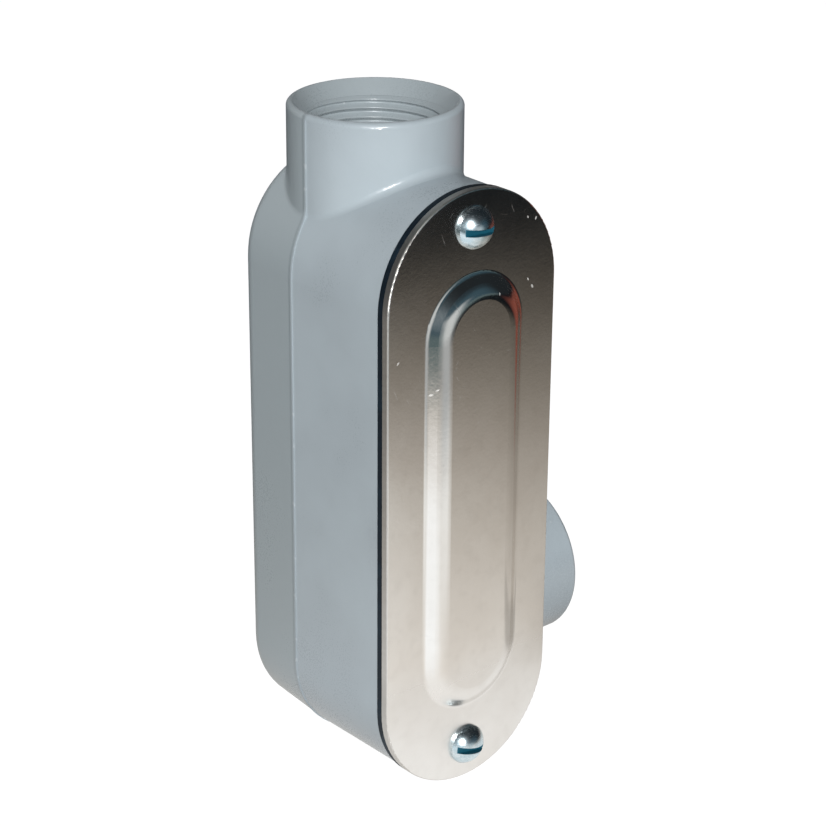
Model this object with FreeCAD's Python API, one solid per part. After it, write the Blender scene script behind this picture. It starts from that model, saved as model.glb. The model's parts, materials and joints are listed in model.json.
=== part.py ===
"""A trade size 3/4 right-hand conduit body, in millimetres.

The die-cast body is a deep trough with round ends. One threaded hub stands on its top end and
one on its right side near the bottom, so wires turn a corner inside it. A rubber gasket and a
pressed cover close the open front, held by a round-head screw at each end.

Frame: +Z is the top hub's axis, pointing out of its mouth. +X is the side hub's axis, pointing
out of its mouth. The cover faces -Y. The origin is on the top hub's axis, where its thread starts.
The die's parting plane is Y = 0, and both hub axes lie in it.
"""
import FreeCAD
import Part

import math
import os

from FreeCAD import Placement, Rotation, Vector

# Hub sockets. The bore is the major diameter of the conduit thread, whose pipe is 26.7 mm outside
THREAD_BORE_D = 26.9
THREAD_LENGTH = 14.5
LEAD_IN_FLARE = 1.95
LEAD_IN_DEPTH = 2.9
THROAT_D = 21.0
THROAT_LIP_R = 1.4
BUSHING_LENGTH = 3.2

# Hubs, seen from outside
HUB_WALL = 3.05
HUB_RIM_R = 1.0
HUB_BLEND_R = 1.6
TOP_HUB_STAND = 7.7
SIDE_HUB_STAND = 17.5
SIDE_HUB_RISE = 5.7

# Trough. Its half-width grows from the hub's by these steps, and tapers both ways from the parting plane
SHOULDER = 3.6
FRONT_TAPER = 0.2
BACK_TAPER = 1.0
BACK_MARGIN = 0.4
FRONT_DEPTH = 25.2
END_SPACING = 80.0
BACK_EDGE_R = 4.0
SIDE_WALL = 2.6
FLOOR_WALL = 2.8
CAVITY_TAPER = 0.7
CAVITY_CORNER_R = 3.0
FLASH_HEIGHT = 0.15
FLASH_WIDTH = 0.6
FLASH_ROOT_R = 7.0

# Gasket and cover
GASKET_THICKNESS = 1.3
GASKET_SETBACK = 0.4
COVER_MARGIN = 0.3
COVER_SHEET = 1.5
COVER_EDGE_R = 0.3
PAN_HALF_WIDTH = 11.5
PAN_INSET = 7.2
PAN_SIDE_SHIFT = 0.4
PAN_HEIGHT = 2.1
PAN_SLOPE_DEG = 35.0
PAN_SHOULDER_R = 5.0
PAN_BASE_R = 1.5

# Cover screws, number 8 with 32 threads to the inch
SCREW_D = 4.1
SCREW_LENGTH = 9.5
SCREW_TIP_CHAMFER = 0.6
HEAD_D = 7.95
HEAD_HEIGHT = 3.1
HEAD_SKIRT = 0.5
SLOT_WIDTH = 1.3
SLOT_DEPTH = 1.6
SLOT_DROP = 0.3
TOP_SLOT_TILT_DEG = 3.0
BOTTOM_SLOT_TILT_DEG = 10.0
SCREW_INSET = 7.05
LUG_WALL = 2.3
TAPPED_CLEARANCE = 0.05
TAPPED_BOTTOM_GAP = 1.5
COVER_HOLE_CLEARANCE = 0.35

# How far a cutting solid runs past the face that it cuts
OVERCUT = 1.0

# Two points this close are one, and a point this close to a surface lies on it
SAME_POINT = 0.0001
ON_SURFACE = 0.01

# Sizes and places that follow from the values above
THREAD_R = THREAD_BORE_D / 2
THROAT_R = THROAT_D / 2
HUB_R = THREAD_R + HUB_WALL
PARTING_HALF_WIDTH = HUB_R + SHOULDER
FLANGE_HALF_WIDTH = PARTING_HALF_WIDTH - FRONT_TAPER
BACK_HALF_WIDTH = PARTING_HALF_WIDTH - BACK_TAPER
COVER_HALF_WIDTH = FLANGE_HALF_WIDTH + COVER_MARGIN
CAVITY_HALF_WIDTH = FLANGE_HALF_WIDTH - SIDE_WALL
CAVITY_FLOOR_HALF_WIDTH = CAVITY_HALF_WIDTH - CAVITY_TAPER
FLANGE_Y = -FRONT_DEPTH
GASKET_FRONT_Y = FLANGE_Y - GASKET_THICKNESS
COVER_FRONT_Y = GASKET_FRONT_Y - COVER_SHEET
BACK_Y = HUB_R + BACK_MARGIN
FLOOR_Y = BACK_Y - FLOOR_WALL
TOP_END_Z = -TOP_HUB_STAND - PARTING_HALF_WIDTH
BOTTOM_END_Z = TOP_END_Z - END_SPACING
SIDE_HUB_Z = BOTTOM_END_Z + SIDE_HUB_RISE
SIDE_HUB_X = PARTING_HALF_WIDTH + SIDE_HUB_STAND
TOP_SCREW_Z = TOP_END_Z + COVER_HALF_WIDTH - SCREW_INSET
BOTTOM_SCREW_Z = BOTTOM_END_Z - COVER_HALF_WIDTH + SCREW_INSET
TAPPED_R = SCREW_D / 2 + TAPPED_CLEARANCE
LUG_R = TAPPED_R + LUG_WALL
SCREW_TIP_Y = COVER_FRONT_Y + SCREW_LENGTH
TOP_HUB_PLACE = Placement()
SIDE_HUB_PLACE = Placement(Vector(SIDE_HUB_X, 0, SIDE_HUB_Z), Rotation(Vector(0, 1, 0), 90))


def rounded_wire(corners):
    """Closed wire in the XY plane through corners (x, y, radius). A radius of 0 leaves a corner sharp."""
    points = [Vector(x, y, 0) for x, y, _ in corners]
    arrivals = []
    departures = []
    arcs = []
    for i, (_, _, radius) in enumerate(corners):
        following = points[(i + 1) % len(points)]
        if not radius:
            arrivals.append(points[i])
            departures.append(points[i])
            arcs.append(None)
            continue
        back = (points[i - 1] - points[i]).normalize()
        ahead = (following - points[i]).normalize()
        half_angle = back.getAngle(ahead) / 2
        start = points[i] + back * (radius / math.tan(half_angle))
        end = points[i] + ahead * (radius / math.tan(half_angle))
        middle = points[i] + (back + ahead).normalize() * (radius / math.sin(half_angle) - radius)
        arrivals.append(start)
        departures.append(end)
        arcs.append(Part.Arc(start, middle, end).toShape())
    outline = []
    for i, arc in enumerate(arcs):
        if arc:
            outline.append(arc)
        arrival = arrivals[(i + 1) % len(points)]
        if departures[i].distanceToPoint(arrival) > SAME_POINT:
            outline.append(Part.makeLine(departures[i], arrival))
    return Part.Wire(outline)


def turned(corners, place, angle=360):
    """Solid turned about a hub's axis, from a section with corners (radius, height, rounding)."""
    section = Part.Face(rounded_wire(corners))
    section.rotate(Vector(0, 0, 0), Vector(1, 0, 0), 90)
    solid = section.revolve(Vector(0, 0, 0), Vector(0, 0, 1), angle)
    solid.Placement = place
    return solid


def round_ended(corners, top_z=TOP_END_Z, bottom_z=BOTTOM_END_Z):
    """Solid with a half-round end about each of two centres on X = 0, and straight sides between them.

    The section's corners are (distance from the middle, Y, rounding), and the first and the last
    lie on the middle.
    """
    section = Part.Face(rounded_wire(corners))
    at_top = section.translated(Vector(0, 0, top_z))
    at_bottom = section.translated(Vector(0, 0, bottom_z))
    top_end = at_top.revolve(Vector(0, 0, top_z), Vector(0, -1, 0), 180)
    bottom_end = at_bottom.revolve(Vector(0, 0, bottom_z), Vector(0, 1, 0), 180)
    right_side = at_bottom.extrude(Vector(0, 0, top_z - bottom_z))
    left_side = right_side.mirror(Vector(0, 0, 0), Vector(1, 0, 0))
    return top_end.fuse([bottom_end, right_side, left_side]).removeSplitter()


def round_ended_plate(half_width, front_y, back_y):
    """Flat plate with the trough's plan, from front_y to back_y."""
    corners = [(0, front_y, 0), (half_width, front_y, 0), (half_width, back_y, 0), (0, back_y, 0)]
    return round_ended(corners)


def bar_along_y(radius, front_y, back_y, z):
    """Round bar parallel to Y at X = 0."""
    return Part.makeCylinder(radius, back_y - front_y, Vector(0, front_y, z), Vector(0, 1, 0))


def end_lug(radius, front_y, back_y, z, end_z):
    """Lug round a screw, as wide as its round nose, that runs out to the wall at the trough's end."""
    nose = bar_along_y(radius, front_y, back_y, z)
    web_corner = Vector(-radius, front_y, min(z, end_z))
    web = Part.makeBox(2 * radius, back_y - front_y, abs(end_z - z), web_corner)
    return nose.fuse(web).removeSplitter()


def hub_half(place, angle):
    """Half of a hub's outside, run on into the trough. An angle of -180 gives the front half.

    Both hubs run as deep as the top one does to reach its end's centre.
    """
    corners = [
        (0, LEAD_IN_DEPTH, 0),
        (HUB_R, LEAD_IN_DEPTH, HUB_RIM_R),
        (HUB_R, TOP_END_Z, 0),
        (0, TOP_END_Z, 0),
    ]
    return turned(corners, place, angle)


def hub_root_edges(lump):
    """Edges where a hub's round outside meets the trough."""
    found = []
    for edge in lump.Edges:
        if edge.Curve.TypeId == "Part::GeomLine":
            continue
        span = edge.LastParameter - edge.FirstParameter
        samples = [edge.valueAt(edge.FirstParameter + share * span) for share in (0.1, 0.5, 0.9)]
        for place in (TOP_HUB_PLACE, SIDE_HUB_PLACE):
            local = [place.inverse().multVec(point) for point in samples]
            on_hub = all(abs(math.hypot(p.x, p.y) - HUB_R) < ON_SURFACE for p in local)
            below_rim = all(p.z < 0 for p in local)
            if on_hub and below_rim:
                found.append(edge)
    return found


def die_half(trough_corners, angle):
    """What one half of the die leaves: its share of the trough and hubs, with the hubs' roots blended."""
    hubs = [hub_half(TOP_HUB_PLACE, angle), hub_half(SIDE_HUB_PLACE, angle)]
    lump = round_ended(trough_corners).fuse(hubs).removeSplitter()
    return lump.makeFillet(HUB_BLEND_R, hub_root_edges(lump))


def flash_line():
    """Thin flash where the die halves met, as a plate that stands out all round the trough and the hubs."""
    front_y = -FLASH_WIDTH / 2
    back_y = FLASH_WIDTH / 2
    hub_half_width = HUB_R + FLASH_HEIGHT
    hub_top = LEAD_IN_DEPTH - HUB_RIM_R
    plate = round_ended_plate(PARTING_HALF_WIDTH + FLASH_HEIGHT, front_y, back_y)
    top_corner = Vector(-hub_half_width, front_y, TOP_END_Z)
    top_strip = Part.makeBox(2 * hub_half_width, FLASH_WIDTH, hub_top - TOP_END_Z, top_corner)
    side_corner = Vector(0, front_y, SIDE_HUB_Z - hub_half_width)
    side_strip = Part.makeBox(SIDE_HUB_X + hub_top, FLASH_WIDTH, 2 * hub_half_width, side_corner)
    plate = plate.fuse([top_strip, side_strip]).removeSplitter()
    roots = []
    for edge in plate.Edges:
        point = edge.CenterOfMass
        runs_along_y = edge.Curve.TypeId == "Part::GeomLine" and edge.BoundBox.YLength > FLASH_WIDTH / 2
        beside_top_hub = abs(abs(point.x) - hub_half_width) < ON_SURFACE and point.z < 0
        off_side_axis = abs(point.z - SIDE_HUB_Z)
        beside_side_hub = abs(off_side_axis - hub_half_width) < ON_SURFACE and point.x < SIDE_HUB_X
        if runs_along_y and (beside_top_hub or beside_side_hub):
            roots.append(edge)
    return plate.makeFillet(FLASH_ROOT_R, roots)


def cavity():
    """Wire chamber, open at the front. The top socket's end and both screw lugs stand in it."""
    chamber = round_ended(
        [
            (0, FLANGE_Y - OVERCUT, 0),
            (CAVITY_HALF_WIDTH, FLANGE_Y - OVERCUT, 0),
            (CAVITY_HALF_WIDTH, FLANGE_Y, 0),
            (CAVITY_FLOOR_HALF_WIDTH, FLOOR_Y, CAVITY_CORNER_R),
            (0, FLOOR_Y, 0),
        ]
    )
    socket_depth = THREAD_LENGTH + BUSHING_LENGTH
    socket_end = Part.makeCylinder(HUB_R, socket_depth, Vector(0, 0, 0), Vector(0, 0, -1))
    past_front = FLANGE_Y - OVERCUT
    top_lug = end_lug(LUG_R, past_front, -THREAD_R, TOP_SCREW_Z, 0)
    bottom_end_z = BOTTOM_END_Z - COVER_HALF_WIDTH
    bottom_lug = end_lug(LUG_R, past_front, FLOOR_Y + OVERCUT, BOTTOM_SCREW_Z, bottom_end_z)
    return chamber.cut([socket_end, top_lug, bottom_lug])


def hub_bore(place, breakout_depth):
    """What is cut out of a hub: lead-in, thread bore, and a throat with a rounded lip at both ends."""
    mouth_r = THREAD_R + LEAD_IN_FLARE
    corners = [
        (0, LEAD_IN_DEPTH + OVERCUT, 0),
        (mouth_r, LEAD_IN_DEPTH + OVERCUT, 0),
        (mouth_r, LEAD_IN_DEPTH, 0),
        (THREAD_R, 0, 0),
        (THREAD_R, -THREAD_LENGTH, 0),
        (THROAT_R, -THREAD_LENGTH, THROAT_LIP_R),
        (THROAT_R, -breakout_depth, THROAT_LIP_R),
        (THROAT_R + THROAT_LIP_R, -breakout_depth, 0),
        (THROAT_R + THROAT_LIP_R, -breakout_depth - OVERCUT, 0),
        (0, -breakout_depth - OVERCUT, 0),
    ]
    return turned(corners, place)


def make_body():
    """The casting: outside, then the chamber, both hub bores and the two tapped holes."""
    front_section = [
        (0, FLANGE_Y, 0),
        (FLANGE_HALF_WIDTH, FLANGE_Y, 0),
        (PARTING_HALF_WIDTH, 0, 0),
        (0, 0, 0),
    ]
    back_section = [
        (0, 0, 0),
        (PARTING_HALF_WIDTH, 0, 0),
        (BACK_HALF_WIDTH, BACK_Y, BACK_EDGE_R),
        (0, BACK_Y, 0),
    ]
    front = die_half(front_section, -180)
    back = die_half(back_section, 180)
    outside = front.fuse([back, flash_line()]).removeSplitter()
    tapped_end_y = SCREW_TIP_Y + TAPPED_BOTTOM_GAP
    cuts = [
        cavity(),
        hub_bore(TOP_HUB_PLACE, THREAD_LENGTH + BUSHING_LENGTH),
        hub_bore(SIDE_HUB_PLACE, SIDE_HUB_X - CAVITY_FLOOR_HALF_WIDTH),
        bar_along_y(TAPPED_R, FLANGE_Y - OVERCUT, tapped_end_y, TOP_SCREW_Z),
        bar_along_y(TAPPED_R, FLANGE_Y - OVERCUT, tapped_end_y, BOTTOM_SCREW_Z),
    ]
    return outside.cut(cuts)


def make_gasket():
    """Flat rubber ring on the body's rim, widened round both screws."""
    opening_half_width = CAVITY_HALF_WIDTH + GASKET_SETBACK
    lug_r = LUG_R - GASKET_SETBACK
    past_front = GASKET_FRONT_Y - OVERCUT
    past_back = FLANGE_Y + OVERCUT
    plate = round_ended_plate(COVER_HALF_WIDTH, GASKET_FRONT_Y, FLANGE_Y)
    top_lug = end_lug(lug_r, past_front, past_back, TOP_SCREW_Z, 0)
    bottom_lug = end_lug(lug_r, past_front, past_back, BOTTOM_SCREW_Z, BOTTOM_END_Z - COVER_HALF_WIDTH)
    opening = round_ended_plate(opening_half_width, past_front, past_back).cut([top_lug, bottom_lug])
    hole_r = SCREW_D / 2 + COVER_HOLE_CLEARANCE
    holes = [bar_along_y(hole_r, past_front, past_back, z) for z in (TOP_SCREW_Z, BOTTOM_SCREW_Z)]
    return plate.cut([opening] + holes)


def pan_form(inset, flat_y, base_y, back_y):
    """Raised pan as a lump, with its sloping side moved inwards by inset and its back at back_y."""
    run = PAN_HEIGHT / math.tan(math.radians(PAN_SLOPE_DEG))
    base_half_width = PAN_HALF_WIDTH - inset * math.tan(math.radians(PAN_SLOPE_DEG / 2))
    shoulder_r = PAN_SHOULDER_R - inset
    base_r = PAN_BASE_R + inset
    foot = base_half_width + base_r
    corners = [
        (0, flat_y, 0),
        (base_half_width - run, flat_y, shoulder_r),
        (base_half_width, base_y, base_r),
        (foot, base_y, 0),
        (foot, back_y, 0),
        (0, back_y, 0),
    ]
    return round_ended(corners, TOP_END_Z - PAN_INSET, BOTTOM_END_Z + PAN_INSET)


def make_cover():
    """Pressed sheet cover. The raised pan is hollow behind, so the sheet keeps its thickness all over."""
    plate = round_ended(
        [
            (0, COVER_FRONT_Y, 0),
            (COVER_HALF_WIDTH, COVER_FRONT_Y, COVER_EDGE_R),
            (COVER_HALF_WIDTH, GASKET_FRONT_Y, 0),
            (0, GASKET_FRONT_Y, 0),
        ]
    )
    mid_sheet_y = (COVER_FRONT_Y + GASKET_FRONT_Y) / 2
    raised = pan_form(0, COVER_FRONT_Y - PAN_HEIGHT, COVER_FRONT_Y, mid_sheet_y)
    hollow = pan_form(COVER_SHEET, GASKET_FRONT_Y - PAN_HEIGHT, GASKET_FRONT_Y, GASKET_FRONT_Y + OVERCUT)
    for form in (raised, hollow):
        form.translate(Vector(PAN_SIDE_SHIFT, 0, 0))
    hole_r = SCREW_D / 2 + COVER_HOLE_CLEARANCE
    holes = [
        bar_along_y(hole_r, COVER_FRONT_Y - OVERCUT, GASKET_FRONT_Y + OVERCUT, z)
        for z in (TOP_SCREW_Z, BOTTOM_SCREW_Z)
    ]
    return plate.fuse(raised).removeSplitter().cut([hollow] + holes)


def make_screw(z, slot_tilt_deg):
    """Slotted round-head screw seated on the cover. The slot's tilt is clockwise, seen from the front."""
    head_r = HEAD_D / 2
    dome_rise = HEAD_HEIGHT - HEAD_SKIRT
    dome_r = (head_r**2 + dome_rise**2) / (2 * dome_rise)
    head_top_y = COVER_FRONT_Y - HEAD_HEIGHT
    head = bar_along_y(head_r, head_top_y, COVER_FRONT_Y, z)
    head = head.common(Part.makeSphere(dome_r, Vector(0, head_top_y + dome_r, z)))
    slot = Part.makeBox(2 * HEAD_D, SLOT_DEPTH + OVERCUT, SLOT_WIDTH)
    slot.translate(Vector(-HEAD_D, head_top_y - OVERCUT, z - SLOT_DROP - SLOT_WIDTH / 2))
    slot.rotate(Vector(0, 0, z), Vector(0, 1, 0), slot_tilt_deg)
    shank = bar_along_y(SCREW_D / 2, COVER_FRONT_Y, SCREW_TIP_Y, z)
    tip = [edge for edge in shank.Edges if abs(edge.CenterOfMass.y - SCREW_TIP_Y) < ON_SURFACE]
    shank = shank.makeChamfer(SCREW_TIP_CHAMFER, tip)
    return head.cut(slot).fuse(shank).removeSplitter()


def main():
    """Build every piece and write one STEP file for each."""
    os.makedirs("parts", exist_ok=True)
    pieces = {
        "body_casting": make_body(),
        "cover_gasket": make_gasket(),
        "cover_plate": make_cover(),
        "cover_screw_top": make_screw(TOP_SCREW_Z, TOP_SLOT_TILT_DEG),
        "cover_screw_bottom": make_screw(BOTTOM_SCREW_Z, BOTTOM_SLOT_TILT_DEG),
    }
    for name, shape in pieces.items():
        print(name, "solids", len(shape.Solids), "valid", shape.isValid(), "volume", round(shape.Volume, 1))
        shape.exportStep(f"parts/{name}.step")


main()
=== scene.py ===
# %% [markdown]
# # A conduit body on a white table
#
# The part is a die-cast fitting for steel conduit: a deep trough with two threaded hubs, a rubber
# gasket, a pressed aluminium cover and two zinc-plated screws. Its solids are already exact, so
# this lesson adds what solids lack: threads inside the hubs, paint, metal and rubber, and a light
# that shows them. The solids could be modelled again here, but then two versions of every size
# would have to agree. It is simpler to load them and to dress them where they stand.

# %% Load the solids
import json
import math

import bpy
import numpy as np
from mathutils import Matrix, Vector


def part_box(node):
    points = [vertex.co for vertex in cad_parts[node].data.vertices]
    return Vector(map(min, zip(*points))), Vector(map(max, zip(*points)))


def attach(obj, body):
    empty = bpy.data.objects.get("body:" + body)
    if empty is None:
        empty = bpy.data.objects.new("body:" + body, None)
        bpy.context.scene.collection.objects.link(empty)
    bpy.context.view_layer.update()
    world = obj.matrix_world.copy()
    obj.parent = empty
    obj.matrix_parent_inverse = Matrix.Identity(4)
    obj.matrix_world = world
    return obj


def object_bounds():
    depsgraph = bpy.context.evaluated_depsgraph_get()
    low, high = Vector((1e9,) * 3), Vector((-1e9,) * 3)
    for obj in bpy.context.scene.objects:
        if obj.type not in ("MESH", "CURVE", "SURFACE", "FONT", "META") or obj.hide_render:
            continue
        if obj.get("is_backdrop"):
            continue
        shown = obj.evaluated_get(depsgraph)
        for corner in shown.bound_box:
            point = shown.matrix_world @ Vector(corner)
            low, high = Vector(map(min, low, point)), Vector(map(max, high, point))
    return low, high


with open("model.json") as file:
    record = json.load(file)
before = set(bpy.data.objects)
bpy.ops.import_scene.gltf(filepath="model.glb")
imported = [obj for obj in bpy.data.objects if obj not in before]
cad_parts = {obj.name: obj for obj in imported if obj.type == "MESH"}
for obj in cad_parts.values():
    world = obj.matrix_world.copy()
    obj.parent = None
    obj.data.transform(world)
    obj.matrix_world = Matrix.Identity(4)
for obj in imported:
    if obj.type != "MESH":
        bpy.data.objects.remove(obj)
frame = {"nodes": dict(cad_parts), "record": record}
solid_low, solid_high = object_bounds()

print("solids:", sorted(frame["nodes"]))
print("box from", [round(v, 4) for v in solid_low], "to", [round(v, 4) for v in solid_high])

# %% [markdown]
# ## Places on the part
#
# Everything is in metres. Z runs up the top hub's axis, X runs out along the side hub's axis, and
# the cover faces -Y. The record that came with the solids says where both sockets are, so the
# threads are placed from it and not from numbers typed twice.

# %% Read the sockets from the record
MM = 0.001
SOCKETS = {}
for mount in frame["record"]["mounts"]:
    if mount["kind"] == "threaded_hole":
        SOCKETS[mount["name"]] = {
            "place": np.array(mount["pos_m"], float),
            "axis": np.array(mount["axis"], float),
            "radius": mount["dims"]["r_mm"] * MM,
            "length": mount["dims"]["length_mm"] * MM,
        }
for name, socket in SOCKETS.items():
    print(name, "at", socket["place"], "along", socket["axis"], "radius", socket["radius"])

# %% [markdown]
# ## The camera
#
# The photograph was taken from the left of the cover and from above. Its place was worked out from
# the round rims and ends: a circle seen at an angle is an ellipse, and how flat it is gives the
# angle. A long lens keeps the trough's edges nearly parallel. The camera could be aimed with a
# constraint, but a rotation matrix made of its own right, up and back directions says exactly
# what was measured, its small tilt too.

# %% Make the camera
FRAME_PIXELS = 826
FOCAL_PIXELS = 2415.2
SENSOR = 36.0
CAMERA_PLACE = (-0.27509, -0.33345, 0.12262)

lens_data = bpy.data.cameras.new("photo_lens")
lens_data.sensor_width = SENSOR
lens_data.lens = FOCAL_PIXELS / FRAME_PIXELS * SENSOR
lens_data.clip_start = 0.01
camera = bpy.data.objects.new("photo_camera", lens_data)
right = Vector((0.762228, -0.647274, 0.006705))
up = Vector((0.246976, 0.300381, 0.921289))
back = Vector((-0.598340, -0.700577, 0.388820))
aim = Matrix((right, up, back)).transposed().to_4x4()
camera.matrix_world = Matrix.Translation(CAMERA_PLACE) @ aim
bpy.context.scene.collection.objects.link(camera)
bpy.context.scene.camera = camera
bpy.context.scene.view_settings.view_transform = "Standard"
print("lens", round(lens_data.lens, 1), "mm, camera", round(camera.location.length, 3), "m from the origin")

# %% [markdown]
# ## Shader maths as sums
#
# A finish is mostly arithmetic: this much speckle, less near the edge, twice as much at the foot.
# Wiring that by hand takes dozens of nodes whose meaning is hard to read. Here a small class wraps
# one socket, so that `1 - mask * 0.3` adds the Math nodes by itself, and one method makes any other
# node from its type, its settings and what goes into its sockets.

# %% Wrap a socket
class Value:
    """A number that changes over a surface. Sums with it add Math nodes to its finish."""

    def __init__(self, finish, socket):
        self.finish = finish
        self.socket = socket

    def maths(self, operation, *numbers):
        """One Math node: operation on these numbers, in this order."""
        return self.finish.node("Math", {"operation": operation}, dict(enumerate(numbers)))

    def __add__(self, other):
        return self.maths("ADD", self, other)

    def __sub__(self, other):
        return self.maths("SUBTRACT", self, other)

    def __rsub__(self, other):
        return self.maths("SUBTRACT", other, self)

    def __mul__(self, other):
        return self.maths("MULTIPLY", self, other)

    def __truediv__(self, other):
        return self.maths("DIVIDE", self, other)

    def __pow__(self, other):
        return self.maths("POWER", self, other)

    __radd__ = __add__
    __rmul__ = __mul__

    def larger(self, other):
        """The larger of two numbers."""
        return self.maths("MAXIMUM", self, other)

    def size(self):
        """The number without its sign."""
        return self.maths("ABSOLUTE", self)

    def between(self, start, end):
        """0 below start and 1 above end, with an S-shaped rise. A start above end turns it round."""
        limits = {"Value": self, "From Min": start, "From Max": end}
        return self.finish.node("MapRange", {"interpolation_type": "SMOOTHSTEP"}, limits)

# %% [markdown]
# A finish then holds the material, its Principled shader and the few textures that all metals and
# paints here share. Every texture reads Object coordinates. Because each object sits at the origin,
# those are plain metres on the real part, and a texture's scale is simply how many of its features
# fit in a metre.

# %% Make finishes
class Finish:
    """A material and the one method that adds nodes to it."""

    def __init__(self, name):
        self.material = bpy.data.materials.new(name)
        self.material.use_nodes = True
        self.tree = self.material.node_tree
        self.shader = self.tree.nodes["Principled BSDF"]

    def node(self, kind, settings=None, inputs=None, output=0):
        """A node of this kind: its settings first, then a value or a link for each named socket."""
        made = self.tree.nodes.new("ShaderNode" + kind)
        for name, setting in (settings or {}).items():
            setattr(made, name, setting)
        for name, feed in (inputs or {}).items():
            self.feed(made.inputs[name], feed)
        return Value(self, made.outputs[output])

    def feed(self, socket, feed):
        """Link a Value to a socket, or set the socket to a plain number or colour."""
        if isinstance(feed, Value):
            self.tree.links.new(feed.socket, socket)
        elif socket.type == "RGBA" and len(feed) == 3:
            socket.default_value = (*feed, 1)
        else:
            socket.default_value = feed

    def place(self):
        """The point on the part, in metres."""
        return self.node("TexCoord", output="Object")

    def axes(self, point):
        """The three numbers of a point."""
        return [self.node("SeparateXYZ", inputs={0: point}, output=axis) for axis in range(3)]

    def stretched(self, point, scale, turn_deg=0):
        """A point turned about the cover's normal, then scaled differently along each axis."""
        turn = {"Vector": point, "Angle": math.radians(turn_deg)}
        turned = self.node("VectorRotate", {"rotation_type": "Y_AXIS"}, turn)
        return self.node("VectorMath", {"operation": "MULTIPLY"}, {0: turned, 1: scale})

    def clouds(self, point, scale, detail=2.0):
        """Soft noise from about 0.3 to 0.7, with this many features a metre."""
        return self.node("TexNoise", inputs={"Vector": point, "Scale": scale, "Detail": detail})

    def specks(self, point, scale, radius, shyness):
        """Small round specks in cells of 1 / scale metres. Shyness is the share of cells left empty."""
        cell = {"Vector": point, "Scale": scale}
        distance = self.node("TexVoronoi", inputs=cell, output="Distance")
        lot = self.node("TexVoronoi", inputs=cell, output="Color")
        chosen = self.axes(lot)[0].between(shyness, shyness + 0.01)
        return distance.between(radius, radius * 0.4) * chosen

    def tint(self, share, plain, tinted):
        """A colour that goes from plain to tinted as share goes from 0 to 1."""
        colours = {0: share, 6: plain, 7: tinted}
        return self.node("Mix", {"data_type": "RGBA"}, colours, output=2)

    def relief(self, height, depth):
        """Bump the surface by this height, where 1 stands depth metres proud."""
        bump = self.node("Bump", inputs={"Height": height, "Distance": depth, "Strength": 1.0})
        self.feed(self.shader.inputs["Normal"], bump)

    def surface(self, sockets):
        """Set the shader's own sockets, such as Base Color, from values or links."""
        for name, feed in sockets.items():
            self.feed(self.shader.inputs[name], feed)
        return self.material


def shade(red, green, blue):
    """The linear colour for a screen colour given from 0 to 255."""
    parts = np.array([red, green, blue]) / 255
    linear = np.where(parts <= 0.04045, parts / 12.92, ((parts + 0.055) / 1.055) ** 2.4)
    return tuple(float(v) for v in linear)


print("a mid grey of 128 is", round(shade(128, 128, 128)[0], 3), "in linear light")

# %% [markdown]
# ## Casting paint
#
# The casting is dipped or sprayed in a blue-grey enamel. Such paint pulls itself into a faint
# orange peel about a millimetre across, is a little cloudy, and catches dust. It is thin on sharp
# edges, so the ridge that the die leaves along its parting plane shows pale nicks. A flat colour
# with a rough shader would look like plastic. Three sizes of noise, each in its own role, give
# colour, gloss and relief. Painted shade makes the half behind the parting line a shade darker, and
# lays a dark band on and beside the ridge, which the paint rounds into a low bead. The sockets'
# insides are painted a little darker too, as painted shade in the hollows.

# %% Find the sockets' insides
SOCKET_R = SOCKETS["top_hub"]["radius"] + 2.3 * MM
SOCKET_EDGE = (SOCKET_R**2, (SOCKET_R - 0.1 * MM) ** 2)
TOP_SOCKET_FOOT = (-19 * MM, -18 * MM)
SIDE_SOCKET_FOOT = (18 * MM, 19 * MM)


def outside_of_hubs(x, y, z):
    """0 inside either hub's socket and 1 elsewhere.

    A point is inside a socket when it lies beyond the socket's foot and the sum of the squares of
    its two distances across the hub's axis is less than the square of the socket's radius.
    """
    top = (x**2 + y**2).between(*SOCKET_EDGE) * z.between(*TOP_SOCKET_FOOT)
    side_z = SOCKETS["side_hub"]["place"][2]
    side = (y**2 + (z - side_z) ** 2).between(*SOCKET_EDGE) * x.between(*SIDE_SOCKET_FOOT)
    return 1 - top.larger(side)


print("sockets reach", round(SOCKET_R / MM, 2), "mm from their axes")

# %% Mix the casting paint
PAINT_DEEP = shade(165, 175, 181)
PAINT_PALE = shade(172, 183, 189)
PAINT_REAR_SHADE = shade(158, 168, 172)
PAINT_SOCKET_SHADE = shade(154, 163, 167)
PAINT_RIDGE_SHADE = shade(134, 145, 150)
PAINT_DUST = shade(206, 211, 212)
PAINT_RELIEF = 0.045 * MM
SHADED_REAR_HALF = (-0.2 * MM, 0.3 * MM)
RIDGE = (0.65 * MM, 0.20 * MM)
BEAD = (0.85 * MM, 0.0)
RIDGE_SHADE_FROM = (0.15 * MM, 0.45 * MM)
RIDGE_SHADE_TO = (1.1 * MM, 0.7 * MM)


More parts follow.
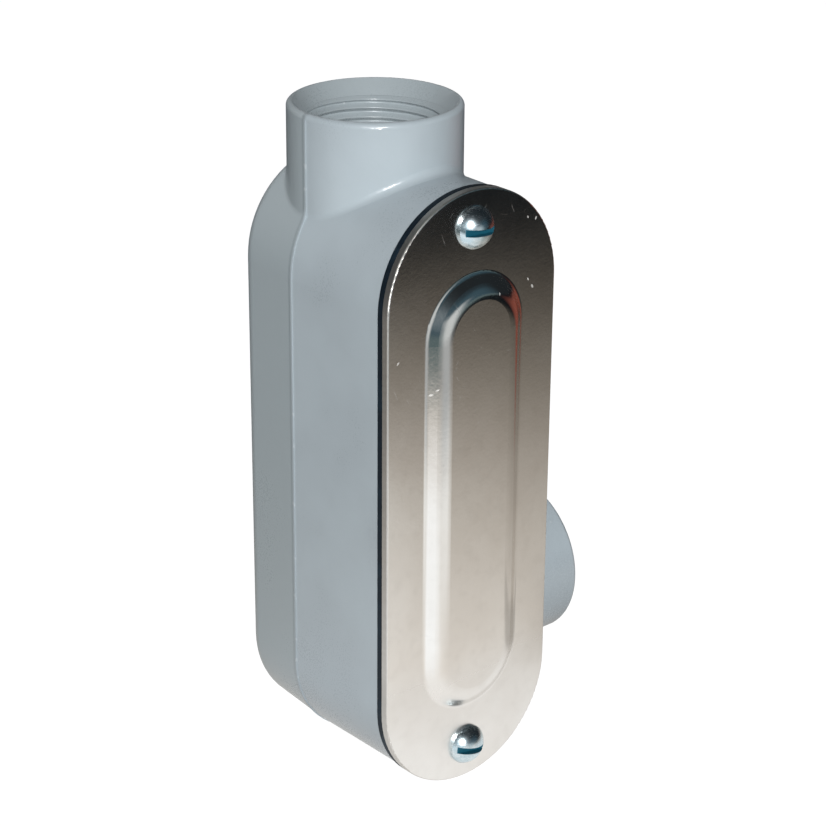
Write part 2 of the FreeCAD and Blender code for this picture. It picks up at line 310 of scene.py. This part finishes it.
def casting_paint():
    """Blue-grey semi-gloss enamel on aluminium, with orange peel, dust and a nicked parting line."""
    finish = Finish("casting_paint")
    point = finish.place()
    x, y, z = finish.axes(point)
    cloud = finish.clouds(point, 38, 3.0)
    peel = finish.clouds(point, 620, 1.0)
    grain = finish.clouds(point, 3200, 2.0)
    dust = finish.specks(point, 240, 0.075, 0.72)
    outside = outside_of_hubs(x, y, z)
    on_parting = y.size().between(*RIDGE) * outside
    nicks = on_parting * finish.clouds(point, 500, 2.0).between(0.62, 0.70)
    body = finish.tint(cloud.between(0.35, 0.65), PAINT_DEEP, PAINT_PALE)
    # Painted shade: the half behind the parting line is a shade darker.
    body = finish.tint(y.between(*SHADED_REAR_HALF), body, PAINT_REAR_SHADE)
    # Painted shade: the insides of both sockets are a little darker.
    body = finish.tint(outside, PAINT_SOCKET_SHADE, body)
    # Painted shade: a darker band on the parting ridge and just behind it.
    ridge_shade = y.between(*RIDGE_SHADE_FROM) * y.between(*RIDGE_SHADE_TO) * outside
    body = finish.tint((on_parting * 0.25).larger(ridge_shade * 0.6), body, PAINT_RIDGE_SHADE)
    dusty = finish.tint(dust * 0.4, body, PAINT_DUST)
    nicked = finish.tint(nicks * 0.35, dusty, PAINT_DUST)
    bead = y.size().between(*BEAD) * outside
    finish.relief(peel * 0.8 + grain * 0.06 + dust * 0.4 + bead * 1.5, PAINT_RELIEF)
    gloss = 0.22 + cloud * 0.08 + grain * 0.05 + nicks * 0.15 + on_parting * 0.10
    return finish.surface({"Base Color": nicked, "Roughness": gloss})


painted = casting_paint()
frame["nodes"]["body_casting"].material_slots[0].material = painted
print("casting paint:", len(painted.node_tree.nodes), "nodes")

# %% [markdown]
# ## The gasket
#
# A flat ring is punched from black rubber sheet. Only its cut edge shows, as a dark line between
# casting and cover. Rubber has no clear reflection, just a fine matt grain, so a high roughness and
# a small relief are enough.

# %% Mix the gasket rubber
RUBBER_DARK = shade(9, 22, 32)
RUBBER_CHALKY = shade(24, 42, 54)
RUBBER_RELIEF = 0.03 * MM


def gasket_rubber():
    """Matt blue-black rubber with a fine moulded grain and a little chalky bloom."""
    finish = Finish("gasket_rubber")
    point = finish.place()
    bloom = finish.clouds(point, 160, 3.0)
    grain = finish.clouds(point, 2600, 2.0)
    colour = finish.tint(bloom.between(0.45, 0.75), RUBBER_DARK, RUBBER_CHALKY)
    finish.relief(grain, RUBBER_RELIEF)
    sockets = {"Base Color": colour, "Roughness": 0.5 + grain * 0.2, "Specular IOR Level": 0.2}
    return finish.surface(sockets)


frame["nodes"]["cover_gasket"].material_slots[0].material = gasket_rubber()
print("gasket rubber mixed")

# %% [markdown]
# ## The cover
#
# The cover is pressed from bare rolled aluminium. Rolls leave fine streaks along the sheet, and
# the press and the tool box leave scratches and nicks. Metal has no colour of its own to speak of:
# what shows is the surroundings, blurred by the grain. So its finish is mostly roughness and
# relief. Scratches could be drawn one by one, but noise that is stretched more than ten times
# longer than wide and cut off near its peak gives thin lines of every length.

# %% Draw scratches and dents
def scratches(finish, point, lean_deg, along, across, rarity):
    """Thin lines that lean this much from upright: stretched noise, kept only above its rarity."""
    noise = finish.clouds(finish.stretched(point, (across, 40, along), lean_deg), 1, 2.0)
    return noise.between(rarity, rarity + 0.04)


def dent(x, z, centre, half_width, lean_deg):
    """A small mark twice as long as wide, 1 at its centre.

    It is the squared distance across its lean plus a quarter of the squared distance along it.
    """
    lean = math.radians(lean_deg)
    right = x - centre[0] * MM
    rise = z - centre[1] * MM
    along = right * math.sin(lean) + rise * math.cos(lean)
    across = right * math.cos(lean) - rise * math.sin(lean)
    distance = across**2 + along**2 * 0.25
    return distance.between((half_width * MM) ** 2, (half_width * 0.3 * MM) ** 2)


# Each set of scratches: its lean in degrees, its noise along and across it, and its rarity
SCRATCHES = [(24, 150, 2100, 0.735), (-38, 190, 2500, 0.745), (78, 170, 2300, 0.75)]
# Each dent's place on the cover in millimetres (x, z), its half-width and its lean in degrees
DENTS = [
    ((13.0, -15.4), 0.18, -30),
    ((15.0, -16.0), 0.22, 25),
    ((13.4, -27.5), 0.20, -35),
    ((14.5, -29.1), 0.27, -30),
    ((4.7, -27.9), 0.18, 10),
    ((-17.8, -36.5), 0.24, 50),
    ((-10.4, -44.3), 0.26, 70),
    ((-9.4, -43.4), 0.20, 60),
]
print(len(DENTS), "dents, the largest", 4 * max(size for _, size, _ in DENTS), "mm long")

# %% [markdown]
# The face mirrors sharply enough to show where the light ends, and is duller near its foot, where
# it has been rubbed. The sheet's sheared edge is another matter: the press tears it, so it is dull
# and darker, which a mask on the depth below the face tells the shader.

# %% Mix the cover's aluminium
METAL_WARM = shade(228, 225, 221)
METAL_PALE = shade(234, 232, 229)
METAL_BRIGHT = shade(250, 249, 246)
METAL_SHEARED = shade(190, 186, 181)
METAL_RELIEF = 0.012 * MM
SHEET_THICKNESS = 1.5 * MM
FACE_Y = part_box("cover_plate")[1].y - SHEET_THICKNESS
SHEARED_EDGE = (FACE_Y - 0.02 * MM, FACE_Y + 0.12 * MM)
RUBBED_FOOT = (-98 * MM, -106 * MM)


def cover_aluminium():
    """Bright rolled aluminium with roll streaks, scratches, dents, a dulled foot and a torn edge."""
    finish = Finish("cover_aluminium")
    point = finish.place()
    x, y, z = finish.axes(point)
    smears = finish.clouds(point, 70, 3.0)
    grain = finish.clouds(point, 1500, 3.0)
    mottle = finish.clouds(point, 420, 3.0)
    streaks = finish.clouds(finish.stretched(point, (1900, 200, 160)), 1, 2.0)
    lines = scratches(finish, point, *SCRATCHES[0])
    for more in SCRATCHES[1:]:
        lines = lines.larger(scratches(finish, point, *more))
    dents = dent(x, z, *DENTS[0])
    for more in DENTS[1:]:
        dents = dents.larger(dent(x, z, *more))
    sheared = y.between(*SHEARED_EDGE)
    rubbed = z.between(*RUBBED_FOOT)
    tears = finish.clouds(finish.stretched(point, (900, 300, 900)), 1, 3.0)
    metal = finish.tint(smears.between(0.35, 0.7), METAL_WARM, METAL_PALE)
    metal = finish.tint(mottle.between(0.45, 0.75) * 0.10, metal, METAL_SHEARED)
    metal = finish.tint(dents * 0.4, metal, METAL_BRIGHT)
    metal = finish.tint(sheared * (0.8 + tears * 0.4), metal, METAL_SHEARED)
    depth = grain * 0.5 + mottle * 0.45 + streaks * 0.10 - lines * 0.4 + sheared * tears * 4
    finish.relief(depth, METAL_RELIEF)
    rough = 0.09 + smears * 0.05 + streaks * 0.03 + lines * 0.10 + sheared * 0.35 + rubbed * 0.16
    torn = 1 - dents * 0.60 - lines * 0.08
    return finish.surface({"Base Color": metal, "Roughness": rough, "Metallic": torn})


frame["nodes"]["cover_plate"].material_slots[0].material = cover_aluminium()
print("cover mixed, its flat face at y", round(FACE_Y, 4))

# %% [markdown]
# ## The screws
#
# The screws are steel with a bright zinc plate. It is bluish and nearly a mirror. Down in the slot
# it is painted a dark teal, as painted shade where little light gets in. The slot's own direction
# differs from screw to screw, so the finish is a function of the screw's centre and tilt.

# %% Mix the screws' zinc plate
ZINC_BLUE = shade(188, 205, 212)
ZINC_PALE = shade(209, 220, 225)
ZINC_SLOT_SHADE = shade(14, 86, 106)
ZINC_RELIEF = 0.008 * MM
SLOT_DROP = 0.3 * MM
SLOT_SIDES = (0.72 * MM, 0.66 * MM)
SLOT_MOUTH = (solid_low.y + 0.1 * MM, solid_low.y + 0.5 * MM)
SLOT_FLOOR = (solid_low.y + 1.75 * MM, solid_low.y + 1.65 * MM)
SCREW_TILTS = {"cover_screw_top": 3.0, "cover_screw_bottom": 10.0}


def screw_zinc(name, centre, tilt_deg):
    """Bright bluish zinc with driver scuffs, and painted shade in the slot through the centre at this tilt.
    """
    finish = Finish(name)
    point = finish.place()
    x, y, z = finish.axes(point)
    tilt = math.radians(tilt_deg)
    across_slot = (x - centre.x) * math.sin(tilt) + (z - centre.z + SLOT_DROP) * math.cos(tilt)
    in_slot = across_slot.size().between(*SLOT_SIDES) * y.between(*SLOT_MOUTH) * y.between(*SLOT_FLOOR)
    mottle = finish.clouds(point, 900, 2.0)
    scuffs = finish.clouds(finish.stretched(point, (300, 1500, 4200)), 1, 2.0).between(0.58, 0.66)
    plate = finish.tint(mottle.between(0.35, 0.65), ZINC_BLUE, ZINC_PALE)
    # Painted shade: the slot is a dark teal.
    colour = finish.tint(in_slot, plate, ZINC_SLOT_SHADE)
    finish.relief(mottle * 0.4 + scuffs * 0.08, ZINC_RELIEF)
    rough = 0.23 + mottle * 0.06 + scuffs * 0.06 + in_slot * 0.3
    metallic = 1 - in_slot * 0.85
    return finish.surface({"Base Color": colour, "Roughness": rough, "Metallic": metallic})


for name, tilt_deg in SCREW_TILTS.items():
    low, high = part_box(name)
    plated = screw_zinc(name.replace("cover_screw", "screw_zinc"), (low + high) / 2, tilt_deg)
    frame["nodes"][name].material_slots[0].material = plated
    print(name, "plated, centred at", [round(v, 4) for v in (low + high) / 2])

# %% [markdown]
# ## Threads in the hubs
#
# Both hubs are tapped with tapered pipe thread: 14 turns to the inch, narrowing by 1 in 16 on the
# diameter as it goes in. The solids stop at the plain bore, because a fine helix makes a slow, heavy
# solid. A screw modifier could sweep the helix, yet it leaves open ends. Instead the wall of the
# socket is one surface of height and angle, whose radius depends on where a point lies in its turn
# of thread. A second, hidden surface inside the casting closes it into a thin sleeve.

# %% Work out the thread's wall
PITCH = 25.4 * MM / 14
THREAD_DEPTH = 0.95 * MM
THREAD_START = 0.38
ROOT_CLEARANCE = 0.08 * MM
RADIUS_TAPER = 1 / 32
LEAD_IN_SLOPE = 1.1


def thread_radius(angle, depth, bore_radius):
    """Radius of the threaded wall at an angle and a depth below the mouth.

    The root is a cone that narrows with depth. The ridge stands inwards from it by the thread's depth
    times a triangle wave, its tips cut flat, of depth / pitch plus angle / full turn plus the turn
    that the thread starts at. Near the mouth the lead-in cone cuts the ridges off, so the radius is
    the larger of the two.
    """
    root = bore_radius - ROOT_CLEARANCE - depth * RADIUS_TAPER
    turn = depth / PITCH + angle / (2 * np.pi) + THREAD_START
    triangle = 1 - np.abs(2 * (turn % 1) - 1)
    ridge = np.clip(triangle * 1.25 - 0.125, 0, 1)
    threaded = root - THREAD_DEPTH * ridge
    lead_in = bore_radius - depth * LEAD_IN_SLOPE
    return np.maximum(threaded, lead_in)


print("pitch", round(PITCH / MM, 3), "mm, thread", round(THREAD_DEPTH / MM, 2), "mm deep")

# %% Close the wall into a sleeve
TURN_STEPS = 224
ROWS_PER_TURN = 14
SLEEVE_WALL = 0.3 * MM


def ring_faces(rings):
    """Four-sided faces between each ring of points and the next, and from the last to the first."""
    row, step = np.meshgrid(np.arange(rings), np.arange(TURN_STEPS), indexing="ij")
    next_row = (row + 1) % rings
    next_step = (step + 1) % TURN_STEPS
    corners = [row * TURN_STEPS + step, row * TURN_STEPS + next_step]
    corners = corners + [next_row * TURN_STEPS + next_step, next_row * TURN_STEPS + step]
    return np.stack(corners, axis=-1).reshape(-1, 4)


def thread_sleeve(name, socket):
    """A closed sleeve: threaded wall inside, plain wall hidden in the casting outside.

    Rows run from the mouth down the threaded wall and back up the hidden one. Each row is a ring of
    points at (radius x cosine, radius x sine, -depth) in the socket's own directions.
    """
    rows = int(socket["length"] / PITCH * ROWS_PER_TURN)
    depths = np.linspace(0, socket["length"], rows)
    angles = np.arange(TURN_STEPS) / TURN_STEPS * 2 * np.pi
    angle, depth = np.meshgrid(angles, depths)
    wall = thread_radius(angle, depth, socket["radius"])
    hidden = np.full((2, TURN_STEPS), socket["radius"] + SLEEVE_WALL)
    radius = np.vstack([wall, hidden])
    depth = np.vstack([depth, np.full((1, TURN_STEPS), depths[-1]), np.zeros((1, TURN_STEPS))])
    angle = np.vstack([angle, angle[:2]])
    forward = socket["axis"]
    side = np.array([0.0, 1.0, 0.0])
    other = np.cross(forward, side)
    points = socket["place"] - depth[..., None] * forward
    points = points + (radius * np.cos(angle))[..., None] * side
    points = points + (radius * np.sin(angle))[..., None] * other
    faces = ring_faces(len(radius))
    mesh = bpy.data.meshes.new(name)
    mesh.from_pydata(points.reshape(-1, 3).tolist(), [], faces.tolist())
    mesh.polygons.foreach_set("use_smooth", np.ones(len(faces), bool))
    mesh.materials.append(painted)
    sleeve = bpy.data.objects.new(name, mesh)
    bpy.context.scene.collection.objects.link(sleeve)
    return sleeve


print(TURN_STEPS, "steps round and", ROWS_PER_TURN, "rows to each turn of thread")

# %% Put a sleeve in each hub
def signed_volume(mesh):
    """Volume enclosed by a mesh, positive when its faces point outwards.

    It is a sixth of the sum, over all triangles, of corner a dotted with b crossed with c.
    """
    mesh.calc_loop_triangles()
    corners = np.zeros(len(mesh.vertices) * 3)
    mesh.vertices.foreach_get("co", corners)
    triangles = np.zeros(len(mesh.loop_triangles) * 3, int)
    mesh.loop_triangles.foreach_get("vertices", triangles)
    a, b, c = corners.reshape(-1, 3)[triangles.reshape(-1, 3)].transpose(1, 0, 2)
    return float((a * np.cross(b, c)).sum() / 6)


for name, socket in SOCKETS.items():
    sleeve = thread_sleeve(name + "_thread", socket)
    if signed_volume(sleeve.data) < 0:
        sleeve.data.flip_normals()
    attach(sleeve, "root")
    volume = signed_volume(sleeve.data) / MM**3
    print(sleeve.name, len(sleeve.data.polygons), "faces,", round(volume), "cubic mm")

# %% [markdown]
# ## The table and the room
#
# The photograph's background is white, and the cover mirrors the table: bright by its foot, darker
# the further away the mirrored spot lies, until its top shows the dark room. Lighting a real
# table that way would also light the part. Instead the table's material asks what kind of ray
# arrives. To the camera it is white paper that keeps the part's shadow. To a mirroring surface it
# is a pool of light on paper that fades into the room. To all other rays it is dull, so it doesn't
# wash out the shaded sides.

# %% Light a pool on the paper
DARK_ROOM = (0.006, 0.008, 0.010)
POOL_CENTRE = (-0.114, -0.051)
POOL_SQUASH = 1.26
POOL_REACH = 0.678
POOL_RIM = (0.50, 0.42)
POOL_IN_FRONT = (-0.287, -0.242)
POOL_BEHIND = (0.0, 0.12)
LOST_BEHIND = 0.6
POOL_THIN = (1.38, 1.15, 0.87)
POOL_FULL = (1.18, 1.16, 1.13)


def pool_of_light(finish, x, y):
    """The mirrored paper: a pool of light that fades into the dark room.

    Its strength is the cube of an S-shaped fall with the distance from its centre, where distances
    along Y count for a quarter more. It ends at a rim and at a line in front, and is weaker behind
    the part. Where it thins out, what is left of its light is warmer.
    """
    distance = ((x - POOL_CENTRE[0]) ** 2 + ((y - POOL_CENTRE[1]) * POOL_SQUASH) ** 2) ** 0.5
    pool = distance.between(POOL_REACH, 0) ** 3 * distance.between(*POOL_RIM)
    pool = pool * y.between(*POOL_IN_FRONT) * (1 - y.between(*POOL_BEHIND) * LOST_BEHIND)
    lit = finish.tint(pool**0.5, POOL_THIN, POOL_FULL)
    return finish.tint(pool, DARK_ROOM, lit)


print("pool of light round", POOL_CENTRE, "reaching", POOL_REACH, "m")

# %% Paint more light on the paper at the part's foot
PAPER_POOL_LIGHT = (1.17, 1.20, 1.22)
LEFT_PLACE = {"side": (0.0, -0.045), "front": (-0.21, -0.11), "rear": (0.05, 0.01)}
FOOT_PLACE = {"side": (0.06, 0.03), "front": (-0.072, -0.048), "rear": (0.0, -0.02)}
FOOT_STRENGTH = 0.42
SHADE_PLACE = {"left": (0.046, 0.054), "right": (0.082, 0.072), "front": (-0.009, 0.0)}
SHADE_LEAN = 1.06
SHADE_STRENGTH = 0.28


def within(place, x, y):
    """1 inside a place with three soft edges, a product of S-shaped steps: one across X, two along Y."""
    return x.between(*place["side"]) * y.between(*place["front"]) * y.between(*place["rear"])


def foot_of_part(finish, x, y, reflected):
    """Painted light on the paper left of the part and at its foot, and its own painted shade on the right.

    The shade is a product of three steps too, and its front edge leans.
    """
    # Painted light: the mirrored paper is brighter left of the part and at its foot.
    white = within(LEFT_PLACE, x, y).larger(within(FOOT_PLACE, x, y) * FOOT_STRENGTH)
    reflected = finish.tint(white, reflected, PAPER_POOL_LIGHT)
    in_shade = x.between(*SHADE_PLACE["left"]) * x.between(*SHADE_PLACE["right"])
    in_shade = in_shade * (y + x * SHADE_LEAN).between(*SHADE_PLACE["front"])
    return finish.tint(in_shade * SHADE_STRENGTH, reflected, DARK_ROOM)


print("paper at the foot is", PAPER_POOL_LIGHT)

# %% [markdown]
# The pool isn't all that the metal mirrors. In the photograph the pressed pan shows more of the
# room: a teal floor past the front of the table, a pale board in front and a dull red card on the
# right. Real boards and cards could be stood round the part, but they would light it too and stand
# in the way of other views. So each is a place on the mirrored table. Seen from the part, a board
# fills a sector, and the slant of a line from the part to a place tells whether the place is in it.

# %% Lay the floor past the table
TEAL_NEAR = (0.105, 0.150, 0.158)
TEAL_FLOOR = (0.045, 0.085, 0.110)
FLOOR_LEAN = 0.6
FLOOR_EDGE = (-0.264, -0.276)
FLOOR_EDGE_SHARE = 0.7
FLOOR_SOFT_EDGE = (-0.268, -0.302)
FLOOR_DARKENS = (-0.45, -1.1)


def floor_past_table(finish, x, y, reflected):
    """The teal floor, which begins at a line aslant and is darker further out.

    Its edge is the larger of two S-shaped steps across that line: a quick one to a share of the
    colour, and a slower one to all of it.
    """
    aslant = y + x * FLOOR_LEAN
    quick = aslant.between(*FLOOR_EDGE) * FLOOR_EDGE_SHARE
    edge = quick.larger(aslant.between(*FLOOR_SOFT_EDGE))
    floor = finish.tint(aslant.between(*FLOOR_DARKENS), TEAL_NEAR, TEAL_FLOOR)
    return finish.tint(edge, reflected, floor)


print("floor goes from", TEAL_NEAR, "to", TEAL_FLOOR)

# %% Stand the board in front
BOARD_WHITE = (0.99, 0.99, 0.97)
BOARD_GREY = (0.44, 0.46, 0.47)
BOARD_FAR = (0.66, 0.70, 0.71)
BOARD_SECTOR = {"left": (-0.48, 0.0), "right": (0.62, 0.20)}
BOARD_STARTS = (-0.07, -0.13)
BOARD_GREYS = (-0.15, -0.235)
BOARD_PALES = (-0.24, -0.42)


def on_board(sideways, ahead):
    """How much a place lies in the narrow sector, straight in front, where the pale board stands."""
    slant = sideways / (ahead * -1)
    return slant.between(*BOARD_SECTOR["left"]) * slant.between(*BOARD_SECTOR["right"])


def board_in_front(finish, x, y, reflected):
    """The board, white near its foot, then grey and then paler."""
    board = finish.tint(y.between(*BOARD_GREYS), BOARD_WHITE, BOARD_GREY)
    board = finish.tint(y.between(*BOARD_PALES), board, BOARD_FAR)
    return finish.tint(on_board(x, y) * y.between(*BOARD_STARTS), reflected, board)


print("board goes from", BOARD_WHITE, "over", BOARD_GREY, "to", BOARD_FAR)

# %% Stand the card on the right
RED_CARD = (0.24, 0.070, 0.050)
CARD_SECTOR = {"front": (-0.90, -0.12), "rear": (0.25, 0.10), "right": (0.0, 0.05)}
CARD_LEAN = 0.35
CARD_STARTS = (0.09, 0.22)
CARD_ENDS = (1.6, 0.5)


def on_card(x, y):
    """How much a place lies in the wide sector, off to the right, where the red card stands aslant."""
    slant = y / x
    sector = slant.between(*CARD_SECTOR["front"]) * slant.between(*CARD_SECTOR["rear"])
    sector = sector * x.between(*CARD_SECTOR["right"])
    return sector * (x + slant * CARD_LEAN).between(*CARD_STARTS) * x.between(*CARD_ENDS)


print("card is", RED_CARD)

# %% Mix the table's paper
PAPER_SEEN = (0.92, 0.92, 0.92)
PAPER_DULL = (0.27, 0.27, 0.27)
PAPER_GLOW = (1.15, 1.15, 1.15)
GLOW_SHARE = 0.80


def ray_from_mirror(finish):
    """1 for a ray that comes from a mirroring or a clear surface and 0 for any other."""
    mirrored = finish.node("LightPath", output="Is Glossy Ray")
    return mirrored.larger(finish.node("LightPath", output="Is Transmission Ray"))


def table_paper():
    """White to the camera, the painted surroundings to mirroring surfaces, dull paper to the rest."""
    finish = Finish("table_paper")
    x, y = finish.axes(finish.place())[:2]
    reflected = pool_of_light(finish, x, y)
    reflected = foot_of_part(finish, x, y, reflected)
    reflected = floor_past_table(finish, x, y, reflected)
    reflected = board_in_front(finish, x, y, reflected)
    reflected = finish.tint(on_card(x, y), reflected, RED_CARD)
    seen = finish.node("LightPath", output="Is Camera Ray")
    mirrored = ray_from_mirror(finish)
    paper = finish.tint(seen, PAPER_DULL, PAPER_SEEN)
    glow = finish.tint(mirrored, PAPER_GLOW, reflected)
    matt = finish.node("BsdfDiffuse", inputs={"Color": paper})
    bright = finish.node("Emission", inputs={"Color": glow, "Strength": 1.0})
    share = (seen * GLOW_SHARE).larger(mirrored)
    mixed = finish.node("MixShader", inputs={0: share, 1: matt, 2: bright})
    output = finish.tree.nodes["Material Output"]
    finish.feed(output.inputs["Surface"], mixed)
    return finish.material


paper = table_paper()
print("table paper:", len(paper.node_tree.nodes), "nodes")

# %% Lay the table
TABLE_REACH = 4.0
TABLE_Z = solid_low.z - 0.01 * MM
table_mesh = bpy.data.meshes.new("table")
reach = np.array([[-1, -1], [1, -1], [1, 1], [-1, 1]]) * TABLE_REACH
table_corners = np.column_stack([reach, np.full(4, TABLE_Z)])
table_mesh.from_pydata(table_corners.tolist(), [], [(0, 1, 2, 3)])
table_mesh.materials.append(paper)
table = bpy.data.objects.new("table", table_mesh)
bpy.context.scene.collection.objects.link(table)
table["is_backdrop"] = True
print("table at", round(TABLE_Z, 5), "m, just under the part")

# %% [markdown]
# The world has the same three faces: white behind the part for the camera, a soft fill for the
# paint that is weak in front and stronger from behind, and for the shiny metal a room that is grey
# on the left and nearly black on the right and above. The floor and the board go on into the room's
# colours, so that neither ends at the horizon.

# %% Make the room
world = bpy.data.worlds.new("room")
world.use_nodes = True
bpy.context.scene.world = world


class Room(Finish):
    """A finish whose nodes go into the world."""

    def __init__(self):
        self.tree = world.node_tree


room = Room()
sideways, ahead, rise = room.axes(room.node("TexCoord", output="Generated"))
print("room begins with", len(world.node_tree.nodes), "nodes")

# %% Colour what the metal mirrors of the room
OVERHEAD = (0.016, 0.020, 0.023)
LEFT_WALL = (0.46, 0.56, 0.60)
FRONT_SIDE = {"forwards": (0.45, 0.80), "rise": (0.60, 0.22)}
LEFT_SIDE = {"left": (0.35, 0.95), "forwards": (-0.3, 0.5), "rise": (0.95, 0.10)}
BOARD_TOP = {"ahead": (-0.1, -0.4), "rise": (0.20, 0.06)}

forwards = ahead * -1
in_front = forwards.between(*FRONT_SIDE["forwards"]) * rise.between(*FRONT_SIDE["rise"])
mirrored_room = room.tint(in_front, OVERHEAD, TEAL_FLOOR)
on_left = (sideways * -1).between(*LEFT_SIDE["left"]) * forwards.between(*LEFT_SIDE["forwards"])
mirrored_room = room.tint(on_left * rise.between(*LEFT_SIDE["rise"]), mirrored_room, LEFT_WALL)
above = ahead.between(*BOARD_TOP["ahead"]) * rise.between(*BOARD_TOP["rise"])
mirrored_room = room.tint(on_board(sideways, ahead) * above, mirrored_room, BOARD_FAR)
print("mirrored room:", len(world.node_tree.nodes), "nodes so far")

# %% Fill the shaded sides and whiten the background
FILL_IN_FRONT = (0.055, 0.057, 0.060)
FILL_BEHIND = (3.8, 3.82, 3.85)
BACKGROUND_WHITE = (1.0, 1.0, 1.0)
FILL_TOWARDS = (0.45, 0.89)
FILL_SPREAD = (0.38, 0.92)
BELOW_CEILING = (0.9, 0.3)

behind_part = (sideways * FILL_TOWARDS[0] + ahead * FILL_TOWARDS[1]).between(*FILL_SPREAD)
fill = room.tint(behind_part * rise.between(*BELOW_CEILING), FILL_IN_FRONT, FILL_BEHIND)
colour = room.tint(ray_from_mirror(room), fill, mirrored_room)
colour = room.tint(room.node("LightPath", output="Is Camera Ray"), colour, BACKGROUND_WHITE)
backdrop = room.node("Background", inputs={"Color": colour, "Strength": 1.0})
room.feed(world.node_tree.nodes["World Output"].inputs["Surface"], backdrop)
print("room:", len(world.node_tree.nodes), "nodes")

# %% [markdown]
# ## The lamp
#
# The paint is brightest where it faces the camera and falls off evenly to both sides, so the only
# lamp stands by the camera, a little to its left. An area lamp gives a soft edge and a round glint
# on the screws. A level of 1 makes a white surface that faces the lamp render white, which fixes
# its power whatever its distance. The part's far side, which other views show, is lit by the pale
# half of the room's fill.

# %% Hang the lamp
CENTRE = (solid_low + solid_high) / 2


def hang_lamp(name, azimuth, elevation, distance, size, level):
    """An area lamp that looks at the part. Its power is level x (pi x distance) squared."""
    turn = math.radians(azimuth)
    rise = math.radians(elevation)
    outwards = Vector((math.sin(turn) * math.cos(rise), -math.cos(turn) * math.cos(rise), math.sin(rise)))
    light = bpy.data.lights.new(name, "AREA")
    light.shape = "DISK"
    light.size = size
    light.energy = level * (math.pi * distance) ** 2
    lamp = bpy.data.objects.new(name, light)
    lamp.rotation_euler = outwards.to_track_quat("Z", "Y").to_euler()
    lamp.location = CENTRE + outwards * distance
    bpy.context.scene.collection.objects.link(lamp)
    print(name, "at", [round(v, 2) for v in lamp.location], "with", round(light.energy, 1), "watts")


hang_lamp("lamp_by_camera", azimuth=-38, elevation=22, distance=2.0, size=0.30, level=1.12)

# %% [markdown]
# ## Check the size and finish
#
# The dressed part must be as large as its solids, because others build on those sizes. The last
# lines measure how far the dressed box lies from the solids' box and print the largest difference.

# %% Measure both boxes
dressed_low, dressed_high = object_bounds()
corners_off = max((dressed_low - solid_low).length, (dressed_high - solid_high).length)
print("dressed box differs by", round(corners_off / MM, 3), "mm at most")
